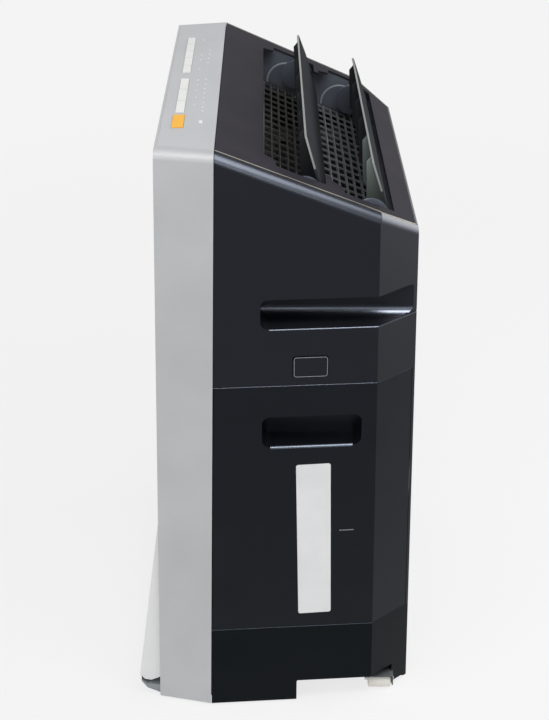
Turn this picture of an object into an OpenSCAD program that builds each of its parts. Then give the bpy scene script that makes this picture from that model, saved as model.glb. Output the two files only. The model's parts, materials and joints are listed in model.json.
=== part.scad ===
// Humidifying air purifier, floor standing, in millimetres.
// Front is -Y, the tank side is +X, +Z is up and the floor is z = 0.

/* [Body] */
// Width over the two shoulders
body_width = 401; // [390:1:420]
// Height of the control panel above the floor
body_height = 640; // [630:1:660]
// Front plane ahead of the origin, at the top
front_reach = 114.8; // [113:0.1:120]
// Shoulder line, where silver meets black, ahead of the origin at the top
shoulder_reach = 62.2; // [60:0.1:64]
// Rear corner line behind the origin, on the top edge
corner_reach = 82.2; // [80:0.1:84]
// Rear plane behind the origin, at the top
rear_reach = 117.6; // [116:0.1:124]
// Turn of the silver cheek about the vertical, degrees
cheek_turn = 12.06; // [11.8:0.02:12.4]
// Turn of the black side, degrees
side_turn = 3.47; // [3.3:0.01:3.6]
// Turn of the rear corner face, degrees
corner_turn = 37.26; // [36.5:0.02:38]
// Forward run of the front plane from top to floor
front_lean = 20.9; // [18:0.1:22]
// Outward run of the silver cheek from top to floor
cheek_lean = 3; // [2.8:0.1:3.2]
// Outward run of the black side from top to floor
side_lean = -1.7; // [-1.9:0.1:-1.5]
// Outward run of the rear corner face from top to floor
corner_lean = 6.1; // [5.5:0.1:6.5]
// Rearward run of the rear plane from top to floor
rear_lean = 18.1; // [16:0.1:20]
// Slope of the top plate, degrees
top_slope = 23.1; // [22.5:0.1:23.5]
// Drop of the rear edge of the top below the control panel
rear_drop = 87.6; // [85:0.1:90]
// Radius of the rounded top edges
edge_round = 9.5; // [8:0.5:11]
// Radius of the rear and front top edges
end_round = 2.4; // [1.5:0.1:3]
// Wall of the moulded shells
wall = 2.6; // [2.2:0.1:3]
// Seam over the tank, below the control panel
seam_drop = 233.5; // [230:0.5:237]
// Height of the seam under the tank
seam_low = 107; // [104:0.5:110]
// Gap shown at a seam
seam = 0.6; // [0.4:0.1:1]
// Rounding of the seam edges
seam_round = 0.9; // [0.5:0.1:1.2]
// Clear height under the skirt
skirt_gap = 2; // [1.5:0.1:3]

/* [Outlets] */
// Distance between the two louvres along the slope
louvre_pitch = 65.9; // [65:0.1:67]
// First louvre front edge, from the shoulder line down the slope
louvre_start = 45.9; // [45:0.1:47]
// Chord of a louvre
louvre_chord = 54.4; // [53:0.1:55]
// Thickness of a louvre
louvre_thick = 2.2; // [1.8:0.1:2.4]
// Room from the shoulder to the side of the outlet duct
duct_margin = 26.9; // [25:0.1:28]
// Room at each end of the front louvre inside the duct
louvre_end_gap = 7.1; // [6.6:0.1:8]
// Taper of a louvre end, from its wide part to its free edge
louvre_taper = 15; // [12:0.5:16]
// Pivot behind the free edge, along the louvre
louvre_pivot_back = 46.2; // [46:0.1:46.6]
// Pivot below the louvre face
louvre_pivot_drop = 17; // [16.8:0.1:17.2]
// Opening angle of the louvres as built, from closed
louvre_open = 49; // [40:1:54]
// Stub shaft diameter of the louvres
stub_diameter = 5; // [4:0.5:6]
// Thickness of the top plate
plate_thick = 2.4; // [2:0.1:2.4]
// Width of the pale trim line
trim_width = 1.3; // [1:0.1:1.8]
// Depth of the outlet grilles below the top plate
grille_drop = 40; // [39:0.5:44]
// Height of a grille bar
grille_bar_height = 3; // [2:0.5:4]
// Thickness of a grille bar
grille_bar = 1.2; // [1:0.1:1.4]

/* [Controls] */
// Thickness of the control panel plate
panel_thick = 1.2; // [1:0.1:1.4]
// Clear gap round a key
key_gap = 0.3; // [0.2:0.05:0.4]
// Travel of a key
key_travel = 0.8; // [0.5:0.1:1]
// Width of a white key, front to back
key_width = 8; // [7:0.5:9]
// Stand of a key above the panel
key_stand = 0.5; // [0.3:0.1:0.6]

/* [Recesses] */
// Lower edge of the carrying recess, below the control panel
grip_drop = 173; // [171:0.5:175]
// Height of the carrying recess
grip_height = 31; // [28:0.5:32]
// Front end of the carrying recess, ahead of the origin
grip_front = 24; // [20:0.5:26]
// Depth of the carrying recess, from the shoulder
grip_depth = 35.5; // [33:0.5:37]
// Radius between the back and the floor of the carrying recess
grip_fillet = 9; // [6:0.5:11]
// Corner radius of the recesses
recess_round = 8; // [6:0.5:9]
// Rounding of the lower lip of the carrying recess
lip_round = 1.4; // [0.8:0.1:1.8]
// Rounding of the lower lip of the tank grip
tank_lip = 4; // [2:0.2:4.4]
// Width of the tank grip
tank_grip_width = 95.5; // [90:0.5:98]
// Height of the tank grip
tank_grip_height = 34.5; // [32:0.5:36]
// Depth of the tank grip
tank_grip_depth = 24; // [20:1:26]
// Width of the level window
window_width = 33.8; // [30:0.2:36]
// Level window above the lower seam
window_rise = 18; // [16:0.5:22]
// Level window below the tank grip
window_drop = 21.75; // [18:0.25:26]
// Thickness of the level window
window_thick = 2; // [1.6:0.1:2.2]

/* [Release button] */
// Width of the release button
button_width = 32.6; // [30:0.2:34]
// Height of the release button
button_height = 22; // [20:0.2:23]
// Stand of the button beyond the side
button_stand = 1; // [0.6:0.1:1.4]
// Travel of the button
button_travel = 3; // [2:0.1:3.5]
// Clear gap round the button
button_gap = 0.4; // [0.3:0.05:0.6]

/* [Intake] */
// Height of the pivot of the lower intake panel
intake_pivot_height = 238; // [234:1:242]
// Pivot of the intake panel behind the front plane
intake_pivot_depth = 6.2; // [5.8:0.1:7]
// Angle of the open intake panel
intake_open = 6; // [5:0.1:7]
// Pivot pin diameter
intake_pin = 4; // [3:0.5:5]
// Radial clearance of running fits
running_gap = 0.06; // [0.03:0.01:0.09]

/* [Inside] */
// Fan wheel radius
fan_radius = 92; // [86:1:94]
// Fan wheel width
fan_width = 52; // [46:1:54]
// Fan blades
fan_blades = 36; // [28:1:40]
// Humidifier wheel radius
wheel_radius = 100; // [96:1:104]
// Humidifier wheel width
wheel_width = 26; // [22:1:28]
// Tank depth behind its cover
tank_depth = 62; // [56:1:64]
// Pleats of the dust filter
pleats = 48; // [40:1:52]
// Roller diameter
roller_diameter = 19; // [18:0.5:20]
// Roller length
roller_length = 24.4; // [23:0.2:25]
// Roller axle diameter
axle_diameter = 4; // [3:0.5:5]

/* [Hidden] */
far = 900;
half_width = body_width / 2;
rear_top = body_height - rear_drop;
seam_high = body_height - seam_drop;
grip_low = body_height - grip_drop;
grip_inner = half_width - grip_depth;
eps = 0.01;
edge_blend = 0.03;
panel_z = body_height;
cheek_n = unit([cos(cheek_turn), -sin(cheek_turn), cheek_lean / body_height]);
side_n = unit([cos(side_turn), sin(side_turn), side_lean / body_height]);
corner_n = unit([cos(corner_turn), sin(corner_turn), corner_lean / body_height]);
front_n = unit([0, -1, front_lean / body_height]);
rear_n = unit([0, 1, rear_lean / body_height]);
flat_n = [0, 0, 1];
slope_n = [0, sin(top_slope), cos(top_slope)];
turn_sum = cheek_turn + side_turn;
shoulder_run = (cos(side_turn) * cheek_lean - cos(cheek_turn) * side_lean) / sin(turn_sum);
split_n = unit([0, -1, shoulder_run / body_height]);
shoulder_p = [body_width / 2, -shoulder_reach, body_height];
corner_p = along(shoulder_p, cross(side_n, slope_n), corner_reach);
front_gap = 5.2;
rear_gap = 8.8;
opening_end = louvre_start + louvre_pitch + louvre_chord + rear_gap;
rear_p = [0, rear_y(rear_top), rear_top];
facet_n = unit([0, corner_p[2] - rear_top, rear_p[1] - corner_p[1]]);
side_inset = edge_round * (1 - side_n * slope_n);
corner_inset = edge_round * (1 - corner_n * facet_n);
front_p = [0, -front_reach, body_height];
split_angle = atan(shoulder_run / body_height);
front_angle = atan(front_lean / body_height);
deck_z = body_height - 128;
duct_low_front = -46;
duct_half = half_width - duct_margin;
louvre_wide_half = duct_half - louvre_end_gap;
louvre_free_half = louvre_wide_half - louvre_taper;
rear_louvre_short = 10;
tongue_half = louvre_free_half - 7.5;
tongue_gap = 1.5;
tongue_length = louvre_pitch - 2.4;
rib_step = 26;
rib_thick = 1.6;
duct_wall = 2.4;
motor_shaft = 8;
motor_diameter = 76;
motor_flange = 112;
boss_stand = 2.2;
boss_ahead = 8.5;
boss_drop = 29.5;
boss_radius = 19;
duct_front = louvre_start - 4;
duct_rear = opening_end + 6.8;
bay_inner = half_width - 88.5;
stub_hole = stub_diameter + 2 * running_gap;
fan_x = -42;
fan_z = deck_z - 194;
scroll_front = -12;
scroll_rear = 88;
scroll_radius = 128;
throat_left = -150;
throat_right = 66;
wheel_x = -34;
wheel_z = 176;
wheel_y = -46;
tray_front = -72;
tray_rear = -22;
tray_left = -half_width + 40.5;
tray_right = 92;
tray_low = 22;
tray_high = 92;
button_y = 22.4;
button_z = seam_high + 20.1;
window_y = 28.8;
tank_grip_y = 24.8;
tank_grip_z = seam_high - 52.5;
window_low = seam_low + window_rise;
window_height = tank_grip_z - tank_grip_height / 2 - window_drop - window_low;
window_z = window_low + window_height / 2;
window_turn = 1.2;
roller_x = half_width - 29.5;
roller_block = 17;
roller_wall = 3;
roller_room = 14;
axle_half = 16;
cap_x = half_width - 38.5;
cap_y = 30;
screw_x = half_width - 70.5;
screw_low = 150;
screw_pitch = (body_height - 2 * screw_low) / 2;
roller_rear_y = 104.5;
roller_front_y = -92;
notch_start = 13;
notch_end = 92;
notch_high = 28;
notch_round = 2.4;
arch_high = 30.5;
floor_half = half_width - 22.5;
floor_low = 15;
floor_thick = 3;
panel_rim = 2.8;
key_y = -front_reach + 17.6;
filter_half = half_width - 30.5;
filter_low = -body_height + 42;
filter_high = -30;
intake_low = 20;
skin_foot = 15;
skin_half = half_width - 17.5;
skin_thick = 3;
skin_gap = 0.6;
intake_y = front_y(intake_pivot_height) + intake_pivot_depth;
gland_x = -half_width + 80.5;
gland_z = 45;
gland_stand = 4;
toe_tip = [-20.6, 21];
toe_fall = toe_tip[1] - body_height / cos(front_angle);
toe_tip_y = -front_reach + toe_tip[0] * cos(front_angle) + toe_fall * sin(front_angle);
intake_turn = front_angle + intake_open;
intake_drop = intake_pivot_height - intake_low;
intake_thick = skin_thick;
intake_run = (body_height - intake_pivot_height) / cos(front_angle);
skin_low = -intake_run + 6.2;
skin_high = -10.2;
intake_tip_y = intake_y - intake_pivot_depth * cos(intake_turn) + (6 - intake_drop) * sin(intake_turn);
front_most = min(toe_tip_y, intake_tip_y);
rear_most = rear_y(gland_z) + gland_stand;
centre_shift = -(front_most + rear_most) / 2;

function unit(v) = v / norm(v);
function along(p, d, y) = p + d * ((y - p[1]) / d[1]);
function run(z) = 1 - z / body_height;
function front_y(z) = -front_reach - front_lean * run(z);
function rear_y(z) = rear_reach + rear_lean * run(z);
function split_y(z) = -shoulder_reach - shoulder_run * run(z);
function flip(v) = [-v[0], v[1], v[2]];
function side_x(y, z) = (side_n * shoulder_p - side_n[1] * y - side_n[2] * z) / side_n[0];
function corner_x(y, z) = (corner_n * corner_p - corner_n[1] * y - corner_n[2] * z) / corner_n[0];
function inset_corner(k, nx, ny) = [-k, (k * nx - k) / ny];

// Everything behind the plane through p with outward normal n
module behind(n, p) {
  side = abs(n[0]) < 0.5 ? [1, 0, 0] : [0, 1, 0];
  u = unit(cross(n, side));
  v = cross(n, u);
  multmatrix([[u[0], v[0], n[0], p[0]], [u[1], v[1], n[1], p[1]], [u[2], v[2], n[2], p[2]], [0, 0, 0, 1]])
    translate([-far, -far, -2 * far]) cube([2 * far, 2 * far, 2 * far]);
}

// Section of what a rounded top edge takes away, in the frame of the edge
module edge_section(nx, ny, ins, r) {
  c = inset_corner(r, nx, ny);
  translate(inset_corner(ins, nx, ny)) difference() {
    polygon([c, [2, c[1]], [2, (2 - nx) / ny], c + (r + 2) * [nx, ny]]);
    translate(c) circle(r + edge_blend, $fn = 48);
  }
}

// Cutter along the edge through p where the planes a and b meet
module edge_cutter(a, b, p, ins, r) {
  e = unit(cross(a, b));
  v = cross(e, a);
  multmatrix([[a[0], v[0], e[0], p[0]], [a[1], v[1], e[1], p[1]], [a[2], v[2], e[2], p[2]], [0, 0, 0, 1]])
    translate([0, 0, -far / 2]) linear_extrude(far) edge_section(a * b, v * b, ins, r);
}

// Whole outline with its mitred rounded top edges, moved in by ins
module outline_form(ins) {
  r = max(edge_round - ins, 1);
  difference() {
    intersection() {
      column(ins);
      behind(flat_n, shoulder_p - ins * flat_n);
      behind(slope_n, shoulder_p - ins * slope_n);
      behind(facet_n, corner_p - ins * facet_n);
      level_range(0, body_height + 1);
    }
    edge_cutter(cheek_n, flat_n, shoulder_p, ins, r);
    edge_cutter(flip(cheek_n), flat_n, flip(shoulder_p), ins, r);
    edge_cutter(side_n, slope_n, shoulder_p, ins, r);
    edge_cutter(flip(side_n), slope_n, flip(shoulder_p), ins, r);
    edge_cutter(corner_n, facet_n, corner_p, ins, r);
    edge_cutter(flip(corner_n), facet_n, flip(corner_p), ins, r);
    edge_cutter(front_n, flat_n, front_p, ins, max(end_round - ins, 0.5));
    edge_cutter(rear_n, facet_n, rear_p, ins, max(end_round - ins, 0.5));
  }
}

// Rounds the edges of a level face at height z along the black side and the rear corner
module level_edges(z, r) {
  edge_cutter(side_n, flat_n, [side_x(0, z), 0, z], 0, r);
  edge_cutter(corner_n, flat_n, [corner_x(corner_reach, z), corner_reach, z], 0, r);
}

// Outline below the top edges only
module column(ins) {
  intersection() {
    behind(cheek_n, shoulder_p - ins * cheek_n);
    behind(flip(cheek_n), flip(shoulder_p - ins * cheek_n));
    behind(side_n, shoulder_p - ins * side_n);
    behind(flip(side_n), flip(shoulder_p - ins * side_n));
    behind(corner_n, corner_p - ins * corner_n);
    behind(flip(corner_n), flip(corner_p - ins * corner_n));
    behind(front_n, front_p - ins * front_n);
    behind(rear_n, rear_p - ins * rear_n);
  }
}

// Outline of the top plate at the upper end of the rounded edges, its sides moved in by ins
module plate_outline(ins) {
  intersection() {
    behind(side_n, shoulder_p - (side_inset + ins) * side_n);
    behind(flip(side_n), flip(shoulder_p - (side_inset + ins) * side_n));
    behind(corner_n, corner_p - (corner_inset + ins) * corner_n);
    behind(flip(corner_n), flip(corner_p - (corner_inset + ins) * corner_n));
    behind(rear_n, rear_p - (end_round + min(ins, 0)) * rear_n);
  }
}

module ahead_of_split(gap) {
  behind(-split_n, shoulder_p + gap * split_n);
}

module behind_split(gap) {
  behind(split_n, shoulder_p - gap * split_n);
}

module level_range(low, high) {
  translate([-far / 2, -far / 2, low]) cube([far, far, high - low]);
}

// Sloping frame: x across, y down the slope, z out of the plate
module slope_frame() {
  translate([0, -shoulder_reach, body_height]) rotate([-top_slope, 0, 0]) children();
}

// Upright frame that leans with the shoulder plane
module split_frame() {
  translate([0, -shoulder_reach, body_height]) rotate([-split_angle, 0, 0]) children();
}

// Upright frame that leans with the front plane
module front_frame_axes() {
  translate([0, -front_reach, body_height]) rotate([-front_angle, 0, 0]) children();
}

// Moves the whole build so that its box is centred over the origin
module placed() {
  translate([0, centre_shift, 0]) children();
}

module both_sides() {
  children();
  mirror([1, 0, 0]) children();
}

module rounded_square(w, h, r) {
  translate([-w / 2 + r, -h / 2]) square([w - 2 * r, h]);
  translate([-w / 2, -h / 2 + r]) square([w, h - 2 * r]);
  for (x = [-w / 2 + r, w / 2 - r])
    for (y = [-h / 2 + r, h / 2 - r])
      translate([x, y]) circle(r, $fn = 32);
}

// Rounded block lying along X from x0 to x1, y and z are its middle
module side_block(x0, x1, y, z, w, h, r) {
  translate([x0, y, z]) rotate([90, 0, 90]) linear_extrude(x1 - x0) rounded_square(w, h, r);
}

module rod_x(x0, x1, y, z, d) {
  translate([x0, y, z]) rotate([0, 90, 0]) cylinder(d = d, h = x1 - x0, $fn = 48);
}

module rod_y(x, y0, y1, z, d) {
  translate([x, y0, z]) rotate([-90, 0, 0]) cylinder(d = d, h = y1 - y0, $fn = 64);
}

module box(a, b) {
  translate(a) cube(b - a);
}

// Top layer from depth a to depth b below the sloping plate planes
module top_layer(a, b) {
  difference() {
    intersection() {
      behind(slope_n, shoulder_p - a * slope_n);
      behind(facet_n, corner_p - a * facet_n);
    }
    intersection() {
      behind(slope_n, shoulder_p - b * slope_n);
      behind(facet_n, corner_p - b * facet_n);
    }
  }
}

// Outlet opening in the sloping frame, narrow ahead and wide behind
module outlet_opening(start, rear_half, gap) {
  end = start + louvre_chord + gap;
  lead = start - 0.9;
  step = start + 11;
  bend = start + 38;
  front = louvre_free_half + 2.5;
  mid = louvre_free_half + 8.1;
  wide = duct_half - 2.6;
  polygon([[-front, lead], [front, lead], [mid, step], [wide, step + 1], [wide, bend],
    [rear_half, end], [-rear_half, end], [-wide, bend], [-wide, step + 1], [-mid, step]]);
}

// Room that the duct takes up under the top plate
module duct_envelope() {
  slope_frame() box([-duct_half - 0.3, duct_front - 0.3, -60], [duct_half + 0.3, duct_rear + 0.3, 10]);
}

module duct_space(low, side, front, rear) {
  intersection() {
    column(edge_round + 0.3 + low);
    slope_frame() box([-side, front, -200], [side, rear, -plate_thick - 0.05]);
    box([-side - 1, duct_low_front + low, deck_z + low], [side + 1, 120, body_height]);
    behind(facet_n, corner_p - (plate_thick + 0.1) * facet_n);
  }
}

// Square with two corners rounded on its left end, or one of them
module end_rounded(w, h, low_r, high_r) {
  difference() {
    square([w, h]);
    translate([-1, -1]) difference() {
      square(low_r + 1);
      translate([low_r + 1, low_r + 1]) circle(low_r, $fn = 48);
    }
    translate([-1, h - high_r]) difference() {
      square(high_r + 1);
      translate([high_r + 1, 0]) circle(high_r, $fn = 48);
    }
  }
}

module grip_hollow() {
  intersection() {
    translate([0, -grip_front, grip_low]) rotate([90, 0, 90]) linear_extrude(far / 2)
      end_rounded(far / 2, grip_height, recess_round, recess_round);
    translate([grip_inner, far / 2, grip_low]) rotate([90, 0, 0]) linear_extrude(far)
      end_rounded(far / 2, grip_height, grip_fillet, grip_fillet / 3);
  }
  intersection() {
    level_edges(grip_low, lip_round);
    box([0, -grip_front + recess_round, 0], [far, far, far]);
  }
}

module grip_pocket() {
  intersection() {
    translate([grip_inner - wall, -grip_front - wall, grip_low - wall])
      cube([60, 400, grip_height + 2 * wall]);
    column(0.4);
  }
}

module base() {
  color("#1b1e21") placed() difference() {
    union() {
      intersection() {
        difference() {
          column(0);
          column(wall);
        }
        behind_split(seam / 2);
        level_range(skirt_gap, seam_low - seam / 2);
      }
      intersection() {
        column(wall - eps);
        box([-floor_half, front_y(floor_low) + 6, floor_low], [floor_half, 300, floor_low + floor_thick]);
      }
      intersection() {
        column(wall - eps);
        behind_split(seam / 2);
        box([bay_inner - 12, -100, seam_low - 4], [half_width + 20, 160, seam_low - 1]);
      }
      both_sides() roller_blocks();
      intersection() {
        column(wall - eps);
        both_sides()
          box([roller_x - 21, notch_start - 3, skirt_gap], [roller_x - 18, notch_end, floor_low + eps]);
      }
    }
    both_sides() box([roller_x - 18, notch_start, -1], [half_width + 20, notch_end, notch_high]);
    both_sides() intersection() {
      edge_cutter(side_n, -flat_n, [side_x(0, notch_high), 0, notch_high], 0, notch_round);
      box([0, notch_start + 0.5, 0], [far, notch_end - 1, far]);
    }
    both_sides() level_edges(seam_low - seam / 2, seam_round);
    both_sides() roller_pockets();
    rod_y(gland_x, 100, 160, gland_z, 14);
  }
}

module roller_blocks() {
  intersection() {
    column(wall - eps);
    box([roller_x - roller_block, roller_rear_y - 18, 4], [half_width + 20, roller_rear_y + 18, 44]);
  }
  intersection() {
    column(wall + 0.6);
    box([roller_x - roller_block, roller_front_y - 18, 4],
      [roller_x + roller_block + 2, roller_front_y + 18, floor_low + eps]);
  }
}

module roller_pockets() {
  half = roller_length / 2 + 0.8;
  inner = roller_x - roller_room;
  box([inner, roller_rear_y - half, -1], [half_width + 40, roller_rear_y + half, arch_high]);
  box([inner, roller_front_y - half, -1], [roller_x + roller_room, roller_front_y + half, 22]);
  roller_axle(roller_rear_y);
  roller_axle(roller_front_y);
  box([inner + roller_wall, roller_rear_y + axle_half, -1], [half_width + 20, roller_rear_y + 60, 4.5]);
}

module roller_axle(y) {
  rod_y(roller_x, y - axle_half, y + axle_half, roller_diameter / 2, axle_diameter);
}

module roller_at(x, y) {
  color("#e9e7e2") placed() difference() {
    translate([x, y, roller_diameter / 2]) rotate([90, 0, 0]) rotate_extrude($fn = 64)
      polygon([[0, -roller_length / 2], [roller_diameter / 2 - 1, -roller_length / 2],
        [roller_diameter / 2, -roller_length / 2 + 1], [roller_diameter / 2, roller_length / 2 - 1],
        [roller_diameter / 2 - 1, roller_length / 2], [0, roller_length / 2]]);
    rod_y(x, y - roller_length, y + roller_length, roller_diameter / 2, axle_diameter + 2 * running_gap);
  }
}

module roller_rear_right() {
  roller_at(roller_x, roller_rear_y);
}

module roller_rear_left() {
  roller_at(-roller_x, roller_rear_y);
}

module roller_front_right() {
  roller_at(roller_x, roller_front_y);
}

module roller_front_left() {
  roller_at(-roller_x, roller_front_y);
}

module roller_axles() {
  color("#b9bcc0") placed() both_sides() {
    roller_axle(roller_rear_y);
    roller_axle(roller_front_y);
  }
}

module front_toe() {
  color("#868a90") placed() front_frame_axes()
    translate([-skin_half - 1, 0, -body_height / cos(front_angle)]) rotate([90, 0, 90])
      linear_extrude(2 * skin_half + 2)
        polygon([[0, skirt_gap + 0.5], [-14.3, 9.5], [-20.2, 18.5], toe_tip, [-17, 17], [-14, 15], [0, 14]]);
}

module front_frame() {
  color("#b3b4b6") placed() difference() {
    union() {
      intersection() {
        difference() {
          outline_form(0);
          outline_form(wall);
        }
        ahead_of_split(seam / 2);
        level_range(skirt_gap, body_height + 1);
      }
      intersection() {
        outline_form(wall - eps);
        ahead_of_split(seam / 2);
        front_frame_axes() difference() {
          box([-half_width, skin_thick + 0.1, skin_low + 4], [half_width, 6, -wall]);
          box([-skin_half + 11, 0, skin_low + 12], [skin_half - 11, 10, -18]);
        }
      }
      intersection() {
        outline_form(wall - eps);
        ahead_of_split(seam / 2);
        front_frame_axes() both_sides()
          box([skin_half - 7, 4.2, skin_low - 16], [skin_half - 4.4, 14, skin_low + 8]);
      }
    }
    front_frame_axes()
      box([-skin_half - skin_gap, -20, -body_height + skin_foot],
        [skin_half + skin_gap, skin_thick, skin_high + skin_gap]);
    control_pocket(0.1, -panel_thick);
    control_pocket(-3, -20);
    both_sides() rod_x(skin_half - 13, skin_half + 2, intake_y, intake_pivot_height, intake_pin);
  }
}

// Prism over the control panel, grown by g, from depth up to above the top
module control_pocket(g, depth) {
  intersection() {
    behind(cheek_n, shoulder_p - (edge_round - g) * cheek_n);
    behind(flip(cheek_n), flip(shoulder_p - (edge_round - g) * cheek_n));
    box([-300, -front_reach + panel_rim - g, panel_z + depth],
      [300, -shoulder_reach + min(g, 0) - seam, panel_z + 5]);
  }
}

module key_span(x0, x1, grow, low, high) {
  box([x0 - grow, key_y - key_width / 2 - grow, low], [x1 + grow, key_y + key_width / 2 + grow, high]);
}

function row_one(k) = -132.5 + k * 23.6;
function row_two(k) = 3.5 + k * 32.2;

module key_holes() {
  for (k = [0:4])
    key_span(row_one(k), row_one(k) + 22.6, key_gap, panel_z - 10, panel_z + 1);
  for (k = [0:2])
    key_span(row_two(k), row_two(k) + 31.2, key_gap, panel_z - 10, panel_z + 1);
  power_span(key_gap, panel_z - 10, panel_z + 1);
}

module power_span(grow, low, high) {
  box([105 - grow, key_y - 5.2 - grow, low], [137.6 + grow, key_y + 5.2 + grow, high]);
}

module control_panel() {
  color("#c2c3c5") placed() difference() {
    control_pocket(0, -panel_thick);
    key_holes();
    box([-400, -400, panel_z], [400, 400, panel_z + 10]);
  }
}

module key_form(x0, x1) {
  color("#eeeeec") placed() {
    key_span(x0, x1, 0, panel_z - panel_thick - 2, panel_z + key_stand);
    key_span(x0 + 2, x1 - 2, 1.2, panel_z - panel_thick - 2, panel_z - panel_thick - 0.15);
  }
}

module key_one() {
  key_form(row_one(0), row_one(0) + 22.6);
}

module key_two() {
  key_form(row_one(1), row_one(1) + 22.6);
}

module key_three() {
  key_form(row_one(2), row_one(2) + 22.6);
}

module key_four() {
  key_form(row_one(3), row_one(3) + 22.6);
}

module key_five() {
  key_form(row_one(4), row_one(4) + 22.6);
}

module key_six() {
  key_form(row_two(0), row_two(0) + 31.2);
}

module key_seven() {
  key_form(row_two(1), row_two(1) + 31.2);
}

module key_eight() {
  key_form(row_two(2), row_two(2) + 31.2);
}

module power_key() {
  color("#f0b83c") placed() {
    power_span(0, panel_z - panel_thick - 2, panel_z + key_stand);
    box([107, key_y - 6.4, panel_z - panel_thick - 2], [135.6, key_y + 6.4, panel_z - panel_thick - 0.15]);
  }
}

module control_board() {
  low = panel_z - panel_thick - 2 - key_travel - 0.2;
  color("#2f6b45") placed() {
    box([-150, key_y - 5.8, low - 4.4], [150, -shoulder_reach - 7.8, low - 2.8]);
    for (k = [0:4])
      box([row_one(k) + 8, key_y - 3, low - 2.8 - eps], [row_one(k) + 14, key_y + 3, low]);
    for (k = [0:2])
      box([row_two(k) + 12, key_y - 3, low - 2.8 - eps], [row_two(k) + 18, key_y + 3, low]);
    box([118, key_y - 3, low - 2.8 - eps], [124, key_y + 3, low]);
    for (x = [-146, 146])
      box([x - 3, key_y + 7.2, low - 2.8 - eps], [x + 3, -shoulder_reach - 13.8, panel_z - panel_thick]);
  }
}

module upper_front_panel() {
  color("#d4d5d6") placed() front_frame_axes()
    box([-skin_half, 0, skin_low], [skin_half, skin_thick, skin_high]);
}

module intake_pins() {
  color("#b9bcc0") placed() both_sides()
    rod_x(skin_half - 6.8, skin_half + 1.8, intake_y, intake_pivot_height, intake_pin);
}

// Lower intake panel about its pivot, drawn closed
module intake_form() {
  drop = intake_drop;
  face = -intake_pivot_depth;
  back = face + intake_thick;
  translate([-skin_half, 0, 0]) rotate([90, 0, 90]) linear_extrude(2 * skin_half)
    polygon([[face, 3.4], [back, 3.4], [back, 12 - drop], [face + 1.6, -drop], [face, 6 - drop]]);
  both_sides() difference() {
    translate([skin_half - 3, 0, 0]) rotate([90, 0, 90]) linear_extrude(3)
      polygon([[face, 3.4], [4, 3.4], [4, -12], [face + 27, 14 - drop], [face + 21, 4 - drop],
        [face + 13, -1 - drop], [face + 6, -0.5 - drop], [face, 6 - drop]]);
    rod_x(skin_half - 5, skin_half + 3, 0, 0, intake_pin + 2 * running_gap);
  }
}

module intake_panel() {
  color("#d2d3d4") placed() translate([0, intake_y, intake_pivot_height])
    rotate([-intake_turn, 0, 0]) intake_form();
}

module housing() {
  color("#1d2024") placed() difference() {
    union() {
      intersection() {
        difference() {
          outline_form(0);
          outline_form(wall);
        }
        behind_split(seam / 2);
        level_range(seam_low + seam / 2, body_height + 1);
      }
      intersection() {
        outline_form(1);
        behind_split(seam / 2);
        top_layer(plate_thick + 0.05, plate_thick + wall);
        plate_outline(-3);
      }
      both_sides() grip_pocket();
      intersection() {
        column(0.5);
        button_sleeve(3, 16);
      }
    }
    intersection() {
      plate_outline(-0.1);
      top_layer(-20, plate_thick + 0.05);
    }
    intersection() {
      plate_outline(4);
      column(edge_round + 4);
      top_layer(-20, 30);
    }
    intersection() {
      column(edge_round - 0.1);
      duct_envelope();
    }
    both_sides() grip_hollow();
    intersection() {
      box([bay_inner, -300, seam_low - 1], [400, 300, seam_high]);
      behind(rear_n, rear_p - (wall + eps) * rear_n);
    }
    button_sleeve(button_gap, 80);
  }
}

// Block round the release button, grown by g, reaching in by depth
module button_sleeve(g, depth) {
  x = side_x(button_y, button_z);
  side_block(x - depth, x + 10, button_y, button_z, button_width + 2 * g, button_height + 2 * g, 3 + g / 2);
}

module release_button() {
  x = side_x(button_y, button_z);
  color("#222529") placed() {
    intersection() {
      side_block(x - 10, x + 10, button_y, button_z, button_width, button_height, 3);
      column(-button_stand);
    }
    side_block(x - 14, x - 10 + eps, button_y, button_z, 10, 8, 2);
  }
}

module button_guide() {
  x = side_x(button_y, button_z);
  color("#3a3d41") placed() difference() {
    side_block(x - 22, x - 16, button_y, button_z, button_width + 6, button_height + 6, 4);
    side_block(x - 23, x - 15, button_y, button_z, 10.8, 8.8, 2.4);
  }
}

module top_plate() {
  color("#434145") placed() difference() {
    intersection() {
      plate_outline(trim_width);
      behind_split(seam / 2);
      top_layer(0, plate_thick);
    }
    slope_frame() translate([0, 0, -60]) linear_extrude(120) {
      outlet_opening(louvre_start, louvre_wide_half + 1.8, front_gap);
      outlet_opening(louvre_start + louvre_pitch, louvre_wide_half - rear_louvre_short + 3, rear_gap);
      translate([-tongue_half - tongue_gap, louvre_start + louvre_chord])
        square([2 * (tongue_half + tongue_gap), louvre_pitch - louvre_chord]);
    }
  }
}

module top_trim() {
  color("#d8d2c4") placed() intersection() {
    difference() {
      plate_outline(0);
      plate_outline(trim_width);
    }
    behind_split(seam / 2);
    top_layer(0, plate_thick);
  }
}

module outlet_duct() {
  color("#2a2c30") placed() difference() {
    duct_space(0, duct_half, duct_front, duct_rear);
    difference() {
      duct_space(duct_wall, duct_half - duct_wall, duct_front + duct_wall, duct_rear - duct_wall);
      slope_frame() box([-duct_half, mid_web - 1.2, -grille_drop - 5], [duct_half, mid_web + 1.2, -30]);
      slope_frame() grille_rests();
      slope_frame() end_bosses();
    }
    for (k = [0, 1])
      slope_frame() both_sides() rod_x(duct_half - 8, duct_half + 8, pivot_run(k), -louvre_pivot_drop, stub_hole);
    box([throat_left, scroll_front + 4, deck_z - 1], [throat_right, scroll_rear - 4, deck_z + 6]);
  }
}

mid_web = louvre_start + louvre_chord + 8;

function pivot_run(k) = louvre_start + k * louvre_pitch + louvre_pivot_back;

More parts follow.
